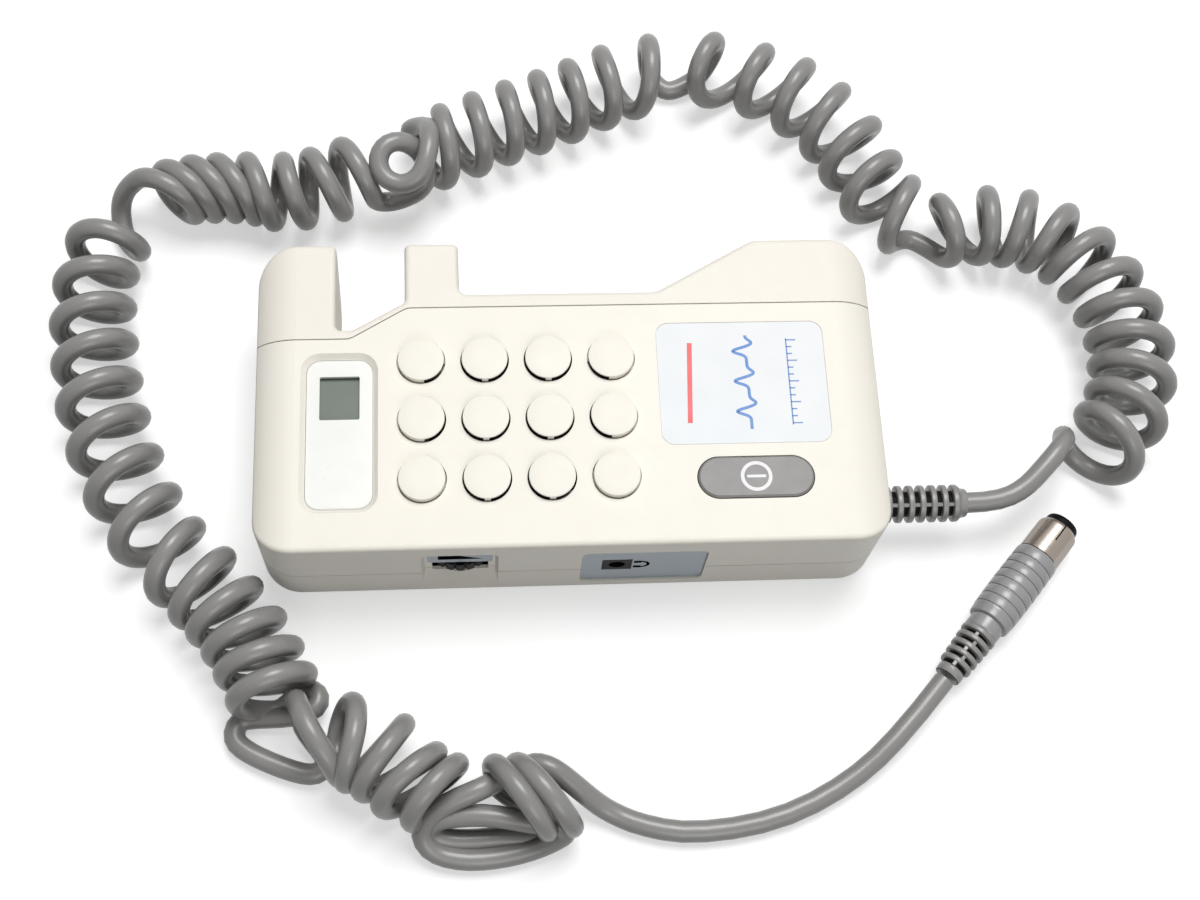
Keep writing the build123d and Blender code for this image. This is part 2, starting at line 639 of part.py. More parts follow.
with BuildPart() as power_button:
    with BuildSketch(Plane.XY.offset(CEILING - 0.2)):
        with Locations((BUTTON_X, BUTTON_Y)):
            Rectangle(BUTTON_LENGTH + 2.0, BUTTON_WIDTH + 2.0)
    extrude(amount=-BUTTON_FLANGE)
    with BuildSketch(Plane.XY.offset(CEILING - 0.2)):
        with Locations((BUTTON_X, BUTTON_Y)):
            SlotOverall(BUTTON_LENGTH, BUTTON_WIDTH)
    extrude(amount=BUTTON_TOP - CEILING + 0.2)
    chamfer(power_button.edges().group_by(Axis.Z)[-1], 0.4)

BUTTON_BACK = CEILING - 0.2 - BUTTON_FLANGE

with BuildPart() as switch_plunger:
    with BuildSketch(Plane.XY.offset(BUTTON_BACK)):
        with Locations((BUTTON_X, BUTTON_Y)):
            RegularPolygon(SWITCH_STEM, 12)
    extrude(amount=-2.2)

with BuildPart() as power_switch:
    with BuildSketch(Plane.XY.offset(SWITCH_BOARD_TOP)):
        with Locations((BUTTON_X, BUTTON_Y)):
            Rectangle(6.0, 6.0)
    extrude(amount=SWITCH_HEIGHT)
    with BuildSketch(Plane.XY.offset(SWITCH_BOARD_TOP + 0.6)):
        with Locations((BUTTON_X, BUTTON_Y)):
            RegularPolygon(SWITCH_STEM + 0.1, 12)
    extrude(amount=SWITCH_HEIGHT, mode=Mode.SUBTRACT)

with BuildPart() as switch_board:
    with BuildSketch(Plane.XY.offset(SWITCH_BOARD_TOP)):
        with Locations((BUTTON_X, BUTTON_Y + 2.0)):
            Rectangle(24.0, 14.0)
    extrude(amount=-1.2)


# Volume: thumb wheel with a knurled rim on the shaft of its control, and the label above it

with BuildPart() as volume_wheel:
    with BuildSketch(Plane.XY.offset(WHEEL_BOTTOM)):
        with Locations((WHEEL_X, WHEEL_Y)):
            Circle(WHEEL_RADIUS)
            with PolarLocations(WHEEL_RADIUS + 0.2, WHEEL_NOTCHES):
                Rectangle(1.1, 1.1, rotation=45, mode=Mode.SUBTRACT)
            RegularPolygon(WHEEL_SHAFT + 0.1, 12, mode=Mode.SUBTRACT)
    extrude(amount=WHEEL_TOP - WHEEL_BOTTOM)

with BuildPart() as volume_control:
    with BuildSketch(Plane.XY.offset(BOARD_TOP)):
        with Locations((WHEEL_X, WHEEL_Y)):
            Rectangle(10.0, 10.0)
    extrude(amount=WHEEL_BOTTOM - 0.3 - BOARD_TOP)
    with BuildSketch(Plane.XY.offset(WHEEL_BOTTOM - 0.5)):
        with Locations((WHEEL_X, WHEEL_Y)):
            RegularPolygon(WHEEL_SHAFT, 12)
    extrude(amount=WHEEL_TOP - WHEEL_BOTTOM + 0.8)

with BuildPart() as volume_label:
    with BuildSketch(Plane.XZ.offset(-SOUTH - THUMB_DEPTH)):
        with Locations((WHEEL_X, (THUMB_TOP + WHEEL_TOP) / 2)):
            RectangleRounded(2 * THUMB_HALF - 2.4, THUMB_TOP - WHEEL_TOP - 2.0, 0.8)
    extrude(amount=0.2)


# Headphone socket on the main board, and the label round it

with BuildPart() as headphone_socket:
    with BuildSketch(Plane.XZ.offset(-SOUTH - SIDE_LABEL_DEPTH + 0.3)):
        with Locations((SOCKET_X, SOCKET_Z)):
            Rectangle(SOCKET_SIZE, SOCKET_SIZE)
    extrude(amount=-3.0)
    with BuildSketch(Plane.XZ.offset(-SOUTH - WALL - 0.2)):
        with Locations((SOCKET_X, (SOCKET_Z + SOCKET_SIZE / 2 + BOARD_TOP) / 2)):
            Rectangle(SOCKET_SIZE, SOCKET_Z + SOCKET_SIZE / 2 - BOARD_TOP)
    extrude(amount=-12.0)
    with BuildSketch(Plane.XZ.offset(-SOUTH + 1)):
        with Locations((SOCKET_X, SOCKET_Z)):
            Circle(SOCKET_BORE)
    extrude(amount=-14.0, mode=Mode.SUBTRACT)

with BuildPart() as socket_label:
    with BuildSketch(Plane.XZ.offset(-SOUTH - SIDE_LABEL_DEPTH)):
        with Locations((SIDE_LABEL_X, SIDE_LABEL_Z)):
            RectangleRounded(SIDE_LABEL_LENGTH - 0.3, SIDE_LABEL_HEIGHT - 0.3, 1.9)
        with Locations((SOCKET_X, SOCKET_Z)):
            Rectangle(SOCKET_SIZE + 0.3, SOCKET_SIZE + 0.3, mode=Mode.SUBTRACT)
    extrude(amount=0.3)


# Speaker behind the grille: basket with its rim, cone and magnet

GRILLE_AXIS = Plane(origin=(GRILLE_X, GRILLE_Y, 0))
RIM_BOTTOM = CEILING - RIM_HEIGHT
BASKET_BOTTOM = RIM_BOTTOM - BASKET_DEPTH

with BuildPart() as speaker_frame:
    with BuildSketch(GRILLE_AXIS.offset(RIM_BOTTOM)):
        RegularPolygon(SPEAKER_RADIUS, SPEAKER_SIDES)
    extrude(amount=RIM_HEIGHT)
    with BuildSketch(GRILLE_AXIS.offset(BASKET_BOTTOM)):
        RegularPolygon(BASKET_RADIUS, SPEAKER_SIDES)
    extrude(amount=BASKET_DEPTH)
    with BuildSketch(GRILLE_AXIS.offset(BASKET_BOTTOM + BASKET_WALL)):
        RegularPolygon(BASKET_RADIUS - BASKET_WALL, SPEAKER_SIDES)
    extrude(amount=CEILING, mode=Mode.SUBTRACT)

with BuildPart() as speaker_cone:
    with BuildSketch(GRILLE_AXIS.offset(RIM_BOTTOM)):
        RegularPolygon(BASKET_RADIUS - BASKET_WALL, SPEAKER_SIDES)
    extrude(amount=-0.8)
    with BuildSketch(GRILLE_AXIS.offset(RIM_BOTTOM - 0.8)):
        RegularPolygon(4.5, 12)
    extrude(amount=BASKET_BOTTOM + BASKET_WALL - RIM_BOTTOM + 0.8)

with BuildPart() as speaker_magnet:
    with BuildSketch(GRILLE_AXIS.offset(BASKET_BOTTOM)):
        RegularPolygon(MAGNET_RADIUS, SPEAKER_SIDES)
    extrude(amount=-MAGNET_HEIGHT)


# Main board with its screws, and the four case screws

with BuildPart() as main_board:
    with BuildSketch(Plane.XY.offset(BOARD_BOTTOM)):
        with Locations(((BOARD_LEFT + BOARD_RIGHT) / 2, (BOARD_SOUTH + BOARD_NORTH) / 2)):
            Rectangle(BOARD_RIGHT - BOARD_LEFT, BOARD_NORTH - BOARD_SOUTH)
    extrude(amount=BOARD_TOP - BOARD_BOTTOM)

with BuildPart() as board_screws:
    with BuildSketch(Plane.XY.offset(BOARD_TOP)):
        with Locations(BOARD_SCREWS):
            RegularPolygon(2.0, 8)
    extrude(amount=1.2)

with BuildPart() as case_screws:
    with BuildSketch(Plane.XY.offset(SCREW_SEAT)):
        with Locations(CASE_SCREWS):
            RegularPolygon(2.5, 8)
    extrude(amount=-2.0)
    with BuildSketch(Plane.XY.offset(SCREW_SEAT)):
        with Locations(CASE_SCREWS):
            RegularPolygon(1.4, 6)
    extrude(amount=12.0)


# Battery, its snap connector and its leads

BATTERY_Z = BATTERY_BOTTOM + BATTERY_HEIGHT / 2
SNAP_LEFT = BATTERY_LEFT - TERMINAL_HEIGHT - SNAP_THICKNESS

with BuildPart() as battery:
    with BuildSketch(Plane.YZ.offset(BATTERY_LEFT)):
        with Locations((BATTERY_Y, BATTERY_Z)):
            Rectangle(BATTERY_WIDTH, BATTERY_HEIGHT)
    extrude(amount=BATTERY_LENGTH - TERMINAL_HEIGHT)
    with BuildSketch(Plane.YZ.offset(BATTERY_LEFT)):
        with Locations((BATTERY_Y - TERMINAL_PITCH / 2, BATTERY_Z)):
            RegularPolygon(2.8, 12)
        with Locations((BATTERY_Y + TERMINAL_PITCH / 2, BATTERY_Z)):
            RegularPolygon(3.8, 6)
    extrude(amount=-TERMINAL_HEIGHT)

with BuildPart() as battery_snap:
    with BuildSketch(Plane.YZ.offset(SNAP_LEFT)):
        with Locations((BATTERY_Y, BATTERY_Z)):
            Rectangle(25.0, 11.0)
    extrude(amount=SNAP_THICKNESS)

with BuildPart() as battery_leads:
    for side in (-1, 1):
        with BuildSketch(Plane.XY.offset(BOARD_TOP)):
            with Locations((SNAP_LEFT - 0.6, BATTERY_Y + 3 * side)):
                Rectangle(1.2, 1.2)
        extrude(amount=BATTERY_Z - BOARD_TOP)


# Inner wires: the cord's three conductors, the speaker's pair and the power switch's pair, to the main board

WALL_INSIDE = EAST - ROOF

with BuildPart() as cord_wires:
    for level in range(3):
        height = PARTING + 1.5 * (level - 1)
        end = 9.5 - 2 * level
        with BuildSketch(Plane.YZ.offset(end)):
            with Locations((WIRE_Y, height)):
                Rectangle(WIRE, WIRE)
        extrude(amount=WALL_INSIDE - 1.8 - end)
        with BuildSketch(Plane.XY.offset(BOARD_TOP)):
            with Locations((end, WIRE_Y)):
                Rectangle(WIRE, WIRE)
        extrude(amount=height + WIRE / 2 - BOARD_TOP)

with BuildPart() as speaker_leads:
    with BuildSketch(Plane.XY.offset(BOARD_TOP)):
        with Locations((GRILLE_X + 13.0, GRILLE_Y - 1.5), (GRILLE_X + 13.0, GRILLE_Y + 1.5)):
            Rectangle(WIRE, WIRE)
    extrude(amount=BASKET_BOTTOM - BOARD_TOP)

with BuildPart() as switch_leads:
    for y in (WIRE_Y + 1.2, WIRE_Y + 2.6):
        with BuildSketch(Plane.YZ.offset(3.0)):
            with Locations((y, SWITCH_BOARD_TOP - 1.2 - WIRE / 2)):
                Rectangle(WIRE, WIRE)
        extrude(amount=27.0)
        with BuildSketch(Plane.XY.offset(BOARD_TOP)):
            with Locations((3.5, y)):
                Rectangle(WIRE, WIRE)
        extrude(amount=SWITCH_BOARD_TOP - 1.2 - BOARD_TOP)


# Moulded boot where the cord leaves the case: its flange sits inside the wall

BOOT_START = EAST
BOOT_END = BOOT_START + BOOT_RIBS * BOOT_PITCH
BOOT_TIP = BOOT_END + 2.2
boot_axis = Plane(origin=(0, EXIT_Y, PARTING), x_dir=(0, 0, 1), z_dir=(1, 0, 0))
boot_steps = [(WALL_INSIDE - 1.8, WALL_INSIDE, BOOT_FLANGE), (WALL_INSIDE, BOOT_START, BOOT_NECK)]
for number in range(BOOT_RIBS):
    start = BOOT_START + number * BOOT_PITCH
    boot_steps.append((start, start + BOOT_PITCH / 2, BOOT_CORE))
    boot_steps.append((start + BOOT_PITCH / 2, start + BOOT_PITCH, BOOT_RADIUS))
boot_steps.append((BOOT_END, BOOT_TIP, BOOT_COLLAR))
strain_relief = stepped(boot_axis, boot_steps, BOOT_SIDES)


# Free cord: lead, coil and tail, joined face to face

cord_lead = tube(LEAD, 8)
cord_tail = tube(TAIL, 8)

stations = coil_stations()
with BuildLine() as coil_path:
    Line(LEAD[-1], stations[0][0])
    for (start, heading), (end, onward) in zip(stations, stations[1:]):
        joint, way = biarc_joint(start, heading, end, onward)
        TangentArc(start, joint, tangent=heading)
        TangentArc(joint, end, tangent=way)
    Line(stations[-1][0], TAIL[0])
coil_wire = coil_path.wires()[0]
with BuildPart() as cord_coil:
    with BuildSketch(Plane(LEAD[-1], z_dir=stations[0][1])):
        RegularPolygon(COIL_SECTION, 4)
    sweep(path=coil_wire, clean=False)
print("curly cord: length", round(coil_wire.length, 1), "least gap", round(least_gap(coil_path.edges()), 2),
      "volume over section and length", round(cord_coil.part.volume / (2 * COIL_SECTION ** 2 * coil_wire.length), 4))


# Connector: boot, body with its barrel, sliding grip sleeve, end collar, insert and contacts

plug_axis = Plane(origin=(*PLUG_REAR, GRIP_RADIUS), x_dir=(0, 0, 1),
                  z_dir=(PLUG_TIP[0] - PLUG_REAR[0], PLUG_TIP[1] - PLUG_REAR[1], 0))
plug_boot_steps = [(0, 2.1, 3.05)]
for number in range(5):
    start = 2.1 + 2.2 * number
    plug_boot_steps.append((start, start + 1.0, BOOT_CORE))
    plug_boot_steps.append((start + 1.0, start + 2.2, 3.8 + 0.12 * number))
connector_boot = stepped(plug_axis, plug_boot_steps, BOOT_SIDES)
connector_body = stepped(plug_axis, [(13.1, 17.0, PLUG_BOSS), (17.0, 37.0, PLUG_BARREL)], PLUG_SIDES)

ring = (36.8 - 16.5) / GRIP_RINGS
grip_steps = []
for number in range(GRIP_RINGS):
    start = 16.5 + number * ring
    grip_steps.append((start, start + 0.8 * ring, GRIP_RADIUS))
    grip_steps.append((start + 0.8 * ring, start + ring, GRIP_RADIUS - GRIP_GROOVE))
connector_sleeve = stepped(plug_axis, grip_steps, PLUG_SIDES, bore=PLUG_BOSS + 0.1)
connector_collar = stepped(plug_axis, [(37.0, 46.0, COLLAR_RADIUS)], PLUG_SIDES, bore=INSERT_RADIUS)

with BuildPart() as connector_insert:
    with BuildSketch(plug_axis.offset(37.0)):
        RegularPolygon(INSERT_RADIUS, PLUG_SIDES)
    extrude(amount=INSERT_TIP - 37.0)
    with BuildSketch(plug_axis.offset(CONTACT_FLOOR)):
        RegularPolygon(INSERT_RADIUS - 0.8, PLUG_SIDES)
    extrude(amount=INSERT_TIP - CONTACT_FLOOR + 1, mode=Mode.SUBTRACT)

with BuildPart() as connector_contacts:
    with BuildSketch(plug_axis.offset(CONTACT_FLOOR)):
        with PolarLocations(CONTACT_CIRCLE, CONTACT_COUNT):
            RegularPolygon(CONTACT_RADIUS, 6)
    extrude(amount=INSERT_TIP - CONTACT_FLOOR - 0.8)

pieces = {
    "front_cover": front_cover, "back_cover": back_cover, "battery_door": battery_door,
    "display_window": display_window, "lcd_module": lcd_module, "display_board": display_board,
    "display_header": display_header, "front_label": front_label, "power_button": power_button,
    "switch_plunger": switch_plunger, "power_switch": power_switch, "switch_board": switch_board,
    "volume_wheel": volume_wheel, "volume_control": volume_control, "volume_label": volume_label,
    "headphone_socket": headphone_socket, "socket_label": socket_label,
    "speaker_frame": speaker_frame, "speaker_cone": speaker_cone, "speaker_magnet": speaker_magnet,
    "main_board": main_board, "board_screws": board_screws, "case_screws": case_screws,
    "battery": battery, "battery_snap": battery_snap, "battery_leads": battery_leads,
    "cord_wires": cord_wires, "speaker_leads": speaker_leads, "switch_leads": switch_leads,
    "strain_relief": strain_relief, "cord_lead": cord_lead, "cord_coil": cord_coil, "cord_tail": cord_tail,
    "connector_boot": connector_boot, "connector_body": connector_body,
    "connector_sleeve": connector_sleeve, "connector_collar": connector_collar,
    "connector_insert": connector_insert, "connector_contacts": connector_contacts,
}
for name, piece in pieces.items():
    export(piece.part, name)
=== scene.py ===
import math

import bpy
import numpy as np
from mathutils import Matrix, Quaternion, Vector


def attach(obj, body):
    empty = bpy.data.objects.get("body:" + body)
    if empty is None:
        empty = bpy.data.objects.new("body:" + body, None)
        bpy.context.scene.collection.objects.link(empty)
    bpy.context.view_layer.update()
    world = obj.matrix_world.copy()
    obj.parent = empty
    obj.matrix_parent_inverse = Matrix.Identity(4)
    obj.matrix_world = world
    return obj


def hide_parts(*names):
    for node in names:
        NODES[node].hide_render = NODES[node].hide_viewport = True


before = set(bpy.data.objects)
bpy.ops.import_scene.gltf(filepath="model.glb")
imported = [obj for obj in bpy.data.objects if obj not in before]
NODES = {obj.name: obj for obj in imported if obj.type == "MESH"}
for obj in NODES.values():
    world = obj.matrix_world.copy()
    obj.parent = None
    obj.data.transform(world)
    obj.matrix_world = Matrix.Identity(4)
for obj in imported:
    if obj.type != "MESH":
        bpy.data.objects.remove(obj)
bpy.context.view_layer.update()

# Pocket vascular doppler on a white table, in metres, in the frame of its CAD model.

UNIT = "doppler_unit"

# Camera of the photograph: place, turn (its axis, as long as its angle in radians) and width of view
CAMERA_PLACE = (-0.021292, -0.159915, 0.387209)
CAMERA_TURN = (0.385, -0.065, -0.034)
CAMERA_WIDTH_OF_VIEW = math.radians(37.543)

# Cord: its radius, the height of the coil's lowest line, and the length by which a winding stops short where
# the next one turns back
CORD_RADIUS = 0.0024
COIL_HEIGHT = 0.0025
TURN_BACK = 0.0038
POINTS_PER_TURN = 16
ROUTE_STEPS = 24
LEAD = [
    (0.0904, -0.0233, 0.0125), (0.0976, -0.0233, 0.0125),
    (0.1044, -0.0206, 0.0134), (0.1096, -0.0156, 0.0149),
]
ENTRY_BEND = [(0.1135, -0.0115, 0.0156), (0.1158, -0.0085, 0.0138)]
# The coil's axis on the table, with the coil's radius as third value; a place on it counts its spans, 0 to 30
COIL_ROUTE = [
    (0.1210, -0.0130, 0.0082), (0.1305, -0.0060, 0.0082), (0.1370, 0.0120, 0.0082),
    (0.1345, 0.0300, 0.0080), (0.1240, 0.0460, 0.0078), (0.1070, 0.0510, 0.0078),
    (0.0890, 0.0485, 0.0074), (0.0785, 0.0590, 0.0078), (0.0725, 0.0760, 0.0080),
    (0.0595, 0.0905, 0.0080), (0.0405, 0.0960, 0.0080), (0.0200, 0.0945, 0.0080),
    (0.0035, 0.0865, 0.0080), (-0.0130, 0.0805, 0.0080), (-0.0290, 0.0735, 0.0080),
    (-0.0470, 0.0670, 0.0078), (-0.0650, 0.0610, 0.0074), (-0.0820, 0.0640, 0.0072),
    (-0.0985, 0.0610, 0.0072), (-0.1090, 0.0485, 0.0072), (-0.1105, 0.0330, 0.0076),
    (-0.1090, 0.0180, 0.0078), (-0.1065, 0.0035, 0.0080), (-0.1010, -0.0120, 0.0080),
    (-0.0930, -0.0270, 0.0080), (-0.0815, -0.0385, 0.0080), (-0.0720, -0.0500, 0.0082),
    (-0.0665, -0.0615, 0.0084), (-0.0605, -0.0735, 0.0084), (-0.0460, -0.0735, 0.0084),
    (-0.0300, -0.0895, 0.0084), (-0.0060, -0.0865, 0.0084),
]
# Windings: start and end on the route, the angle in degrees that each starts at, its hand and its turns
WINDINGS = [
    (0.02, 5.6, 0, -1, 11.25), (5.6, 10.0, -90, 1, 7), (10.0, 13.75, -90, -1, 7.25),
    (14.5, 26.75, -10, 1, 21.778), (27.5, 29.6, -70, 1, 4.95), (29.76, 30.0, -65, 1, 2.0),
]
# The cord after each winding but the last: control points, or none where it only turns back on the table
LAID_FLAT = [
    [],
    [],
    [
        (-0.0316, 0.0762, 0.0168), (-0.0309, 0.0720, 0.0205), (-0.0312, 0.0665, 0.0210),
        (-0.0330, 0.0610, 0.0187), (-0.0374, 0.0592, 0.0170), (-0.0419, 0.0608, 0.0174),
        (-0.0437, 0.0648, 0.0190), (-0.0419, 0.0686, 0.0205), (-0.0375, 0.0702, 0.0200),
        (-0.0330, 0.0692, 0.0158), (-0.0314, 0.0650, 0.0125), (-0.0335, 0.0618, 0.0105),
        (-0.0375, 0.0606, 0.0088), (-0.0412, 0.0603, 0.0074),
    ],
    [
        (-0.0605, -0.0598, 0.0034), (-0.0568, -0.0614, 0.0046), (-0.0572, -0.0652, 0.0049),
        (-0.0635, -0.0664, 0.0038), (-0.0710, -0.0660, 0.0026), (-0.0748, -0.0666, 0.0025),
        (-0.0757, -0.0708, 0.0025), (-0.0718, -0.0740, 0.0025), (-0.0640, -0.0776, 0.0025),
        (-0.0580, -0.0793, 0.0025), (-0.0555, -0.0774, 0.0025), (-0.0552, -0.0752, 0.0025),
    ],
    [
        (-0.0215, -0.0835, 0.0042), (-0.0186, -0.0830, 0.0074), (-0.0188, -0.0836, 0.0116),
        (-0.0222, -0.0856, 0.0136), (-0.0310, -0.0885, 0.0110), (-0.0352, -0.0925, 0.0064),
        (-0.0330, -0.0967, 0.0033), (-0.0260, -0.0986, 0.0026), (-0.0180, -0.0983, 0.0026),
        (-0.0105, -0.0968, 0.0030), (-0.0048, -0.0948, 0.0052), (-0.0038, -0.0939, 0.0066),
        (-0.0052, -0.0925, 0.0086), (-0.0095, -0.0926, 0.0090), (-0.0200, -0.0903, 0.0102),
        (-0.0285, -0.0902, 0.0090), (-0.0322, -0.0908, 0.0076), (-0.0330, -0.0926, 0.0044),
        (-0.0300, -0.0940, 0.0029), (-0.0240, -0.0944, 0.0025), (-0.0165, -0.0938, 0.0025),
        (-0.0108, -0.0946, 0.0025), (-0.0080, -0.0935, 0.0025), (-0.0072, -0.0908, 0.0025),
        (-0.0098, -0.0885, 0.0025),
    ],
]
# How the turns stand along the route: place, and degrees leaned forward or yawed to the left
LEAN = [
    (0.0, 0), (4.7, 0), (5.59, 17), (5.61, -17), (6.5, 0), (9.1, 0), (9.99, 17), (10.01, -17), (10.9, 0),
    (30.0, 0),
]
YAW = [
    (0.0, 0), (4.2, 0), (4.7, 10), (5.1, 24), (5.59, 36), (5.61, 18), (6.4, 0), (8.0, 0), (8.6, -18),
    (9.4, -40), (9.99, -44), (10.01, 0), (15.6, 0), (16.2, 34), (17.4, 38), (18.2, 0), (24.4, 0),
    (25.2, -15), (26.8, -15), (27.5, 44), (27.75, 40), (28.1, 6), (28.5, -5), (28.9, -10), (29.2, -26),
    (29.6, -44), (29.7, 28), (30.0, 28),
]
# Place and turns passed there, for the windings that are tight at some places and drawn out at others
PACES = {
    3: [
        (14.5, 0.0), (16.0, 3.4), (17.35, 7.46), (18.15, 7.78), (20.0, 10.6), (23.4, 15.6), (24.2, 16.7),
        (26.75, 21.778),
    ],
    4: [(27.5, 0.0), (27.68, 0.45), (28.35, 1.45), (28.75, 2.45), (29.06, 3.45), (29.3, 4.45), (29.42, 4.95)],
    5: [(29.78, 0.0), (29.83, 0.43), (29.95, 1.43), (30.0, 2.0)],
}
EXIT_BEND = [
    (-0.0120, -0.0808, 0.0062), (-0.0110, -0.0795, 0.0102), (-0.0068, -0.0808, 0.0118),
    (-0.0020, -0.0842, 0.0092), (0.0018, -0.0868, 0.0056),
]
TAIL = [
    (0.0055, -0.0890, 0.0028), (0.0120, -0.0922, 0.0025), (0.0235, -0.0948, 0.0025),
    (0.0430, -0.0925, 0.0025), (0.0600, -0.0845, 0.0025), (0.07242, -0.07412, 0.00535),
    (0.0831, -0.0622, 0.00535),
]


def link(obj):
    bpy.context.scene.collection.objects.link(obj)
    return obj


def spline_curve(name, points):
    """Curve of one open NURBS spline of order 3 that starts and ends on its control points."""
    data = bpy.data.curves.new(name, "CURVE")
    data.dimensions = "3D"
    spline = data.splines.new("NURBS")
    spline.points.add(len(points) - 1)
    spline.points.foreach_set("co", np.column_stack([points, np.ones(len(points))]).ravel())
    spline.order_u = 3
    spline.use_endpoint_u = True
    return link(bpy.data.objects.new(name, data))


def line_of(curve, resolution):
    """Points along a curve's own line, at equal steps of its parameter."""
    curve.data.resolution_u = resolution
    mesh = bpy.data.meshes.new_from_object(curve)
    points = np.empty(len(mesh.vertices) * 3)
    mesh.vertices.foreach_get("co", points)
    bpy.data.meshes.remove(mesh)
    return points.reshape(-1, 3)


def coil_points():
    """Control points of the coil: a circle's points, place by place along the route, at 16 to the turn.

    With both leaning and yawing at nought a point stands at the route's point + left * r cos(angle), at
    height + r + r sin(angle). Yaw turns the circle about the upright through its lowest point, and lean tips
    it forward about the table.
    """
    guide = spline_curve("coil_guide", COIL_ROUTE)
    track = line_of(guide, ROUTE_STEPS)
    bpy.data.objects.remove(guide)
    places = np.linspace(0, len(COIL_ROUTE) - 2, len(track))

    def route(place):
        return np.stack([np.interp(place, places, track[:, k]) for k in range(3)], axis=-1)

    def back(place):
        return TURN_BACK / np.linalg.norm((route(place + 0.5) - route(place - 0.5))[:2])

    def circle(place, angle):
        middle, angle = route(place), np.radians(angle)
        ahead = (route(place + 0.02) - route(place - 0.02))[:, :2]
        ahead /= np.linalg.norm(ahead, axis=1, keepdims=True)
        left = np.column_stack([-ahead[:, 1], ahead[:, 0]])
        yaw = np.radians(np.interp(place, *np.array(YAW).T))[:, None]
        lean = np.radians(np.interp(place, *np.array(LEAN).T))
        yawed_left = left * np.cos(yaw) - ahead * np.sin(yaw)
        yawed_ahead = ahead * np.cos(yaw) + left * np.sin(yaw)
        # The control points stand a little outside the round, because the spline cuts their corners
        radius = middle[:, 2] / math.cos(math.pi / POINTS_PER_TURN)
        side, rise = radius * np.cos(angle), middle[:, 2] + radius * np.sin(angle)
        flat = middle[:, :2] + yawed_left * side[:, None] + yawed_ahead * (rise * np.sin(lean))[:, None]
        return np.column_stack([flat, COIL_HEIGHT + rise * np.cos(lean)])

    points = []
    for number, (start, end, first, hand, turns) in enumerate(WINDINGS):
        cut_start = number > 0 and not LAID_FLAT[number - 1]
        cut_end = number < len(LAID_FLAT) and not LAID_FLAT[number]
        reach = 360 * TURN_BACK / (2 * math.pi * route(end)[2])
        begin_angle = first + (hand * reach if cut_start else 0)
        end_angle = first + hand * (360 * turns - (reach if cut_end else 0))
        count = round(abs(end_angle - begin_angle) * POINTS_PER_TURN / 360)
        angle = np.linspace(begin_angle, end_angle, count + 1)
        counted = (angle - first) * hand / 360
        pace = PACES.get(number, [(start + back(start) * cut_start, 0.0), (end - back(end) * cut_end, turns)])
        place = np.interp(counted, [turn for _, turn in pace], [where for where, _ in pace])
        points.append(circle(place, angle))
        if cut_end:
            beside_kink = end + np.array([-0.4, 0.4]) * back(end)
            points.append(circle(beside_kink, np.array([-90.0, -90.0])))
        elif number < len(LAID_FLAT):
            points.append(np.array(LAID_FLAT[number]))
    return np.concatenate(points)


def place_camera():
    data = bpy.data.cameras.new("photo_camera")
    data.sensor_fit = "HORIZONTAL"
    data.angle = CAMERA_WIDTH_OF_VIEW
    data.clip_start, data.clip_end = 0.01, 20
    camera = link(bpy.data.objects.new("photo_camera", data))
    turn = Vector(CAMERA_TURN)
    camera.rotation_mode = "QUATERNION"
    camera.rotation_quaternion = Quaternion(turn.normalized(), turn.length)
    camera.location = CAMERA_PLACE
    bpy.context.scene.camera = camera


def paint(red, green, blue):
    """Scene colour of an sRGB colour given in 0 to 255."""
    part = np.array([red, green, blue]) / 255
    return (*np.where(part > 0.04045, ((part + 0.055) / 1.055) ** 2.4, part / 12.92), 1.0)


def surface(name, shade, other, rough, grain=900.0, relief=0.00002, blend=60.0, **settings):
    """Material of two close colours in soft patches, with uneven roughness and a fine grain.

    The sockets named in settings are set straight on the shader.
    """
    material = bpy.data.materials.new(name)
    material.use_nodes = True
    tree = material.node_tree
    shader = tree.nodes["Principled BSDF"]
    place = tree.nodes.new("ShaderNodeTexCoord").outputs["Object"]

    def noise(scale, detail):
        node = tree.nodes.new("ShaderNodeTexNoise")
        node.inputs["Scale"].default_value = scale
        node.inputs["Detail"].default_value = detail
        tree.links.new(place, node.inputs["Vector"])
        return node.outputs["Fac"]

    mix = tree.nodes.new("ShaderNodeMix")
    mix.data_type = "RGBA"
    mix.inputs["A"].default_value = paint(*shade)
    mix.inputs["B"].default_value = paint(*other)
    tree.links.new(noise(blend, 3.0), mix.inputs["Factor"])
    tree.links.new(mix.outputs["Result"], shader.inputs["Base Color"])
    spread = tree.nodes.new("ShaderNodeMapRange")
    spread.inputs["To Min"].default_value = rough - 0.06
    spread.inputs["To Max"].default_value = rough + 0.06
    tree.links.new(noise(4 * blend, 2.0), spread.inputs["Value"])
    tree.links.new(spread.outputs["Result"], shader.inputs["Roughness"])
    bump = tree.nodes.new("ShaderNodeBump")
    bump.inputs["Strength"].default_value = 0.35
    bump.inputs["Distance"].default_value = relief
    tree.links.new(noise(grain, 2.0), bump.inputs["Height"])
    tree.links.new(bump.outputs["Normal"], shader.inputs["Normal"])
    for socket, value in settings.items():
        shader.inputs[socket.replace("_", " ")].default_value = value
    return material


def mesh_piece(name, points, faces, materials, smooth=True, crease=40):
    """Mesh object at the origin, smooth but for edges that turn by more than the crease, in degrees."""
    data = bpy.data.meshes.new(name)
    data.from_pydata([tuple(point) for point in points], [], faces)
    for material in materials:
        data.materials.append(material)
    data.polygons.foreach_set("use_smooth", [smooth] * len(data.polygons))
    data.update()
    if smooth:
        data.set_sharp_from_angle(angle=math.radians(crease))
    return link(bpy.data.objects.new(name, data))


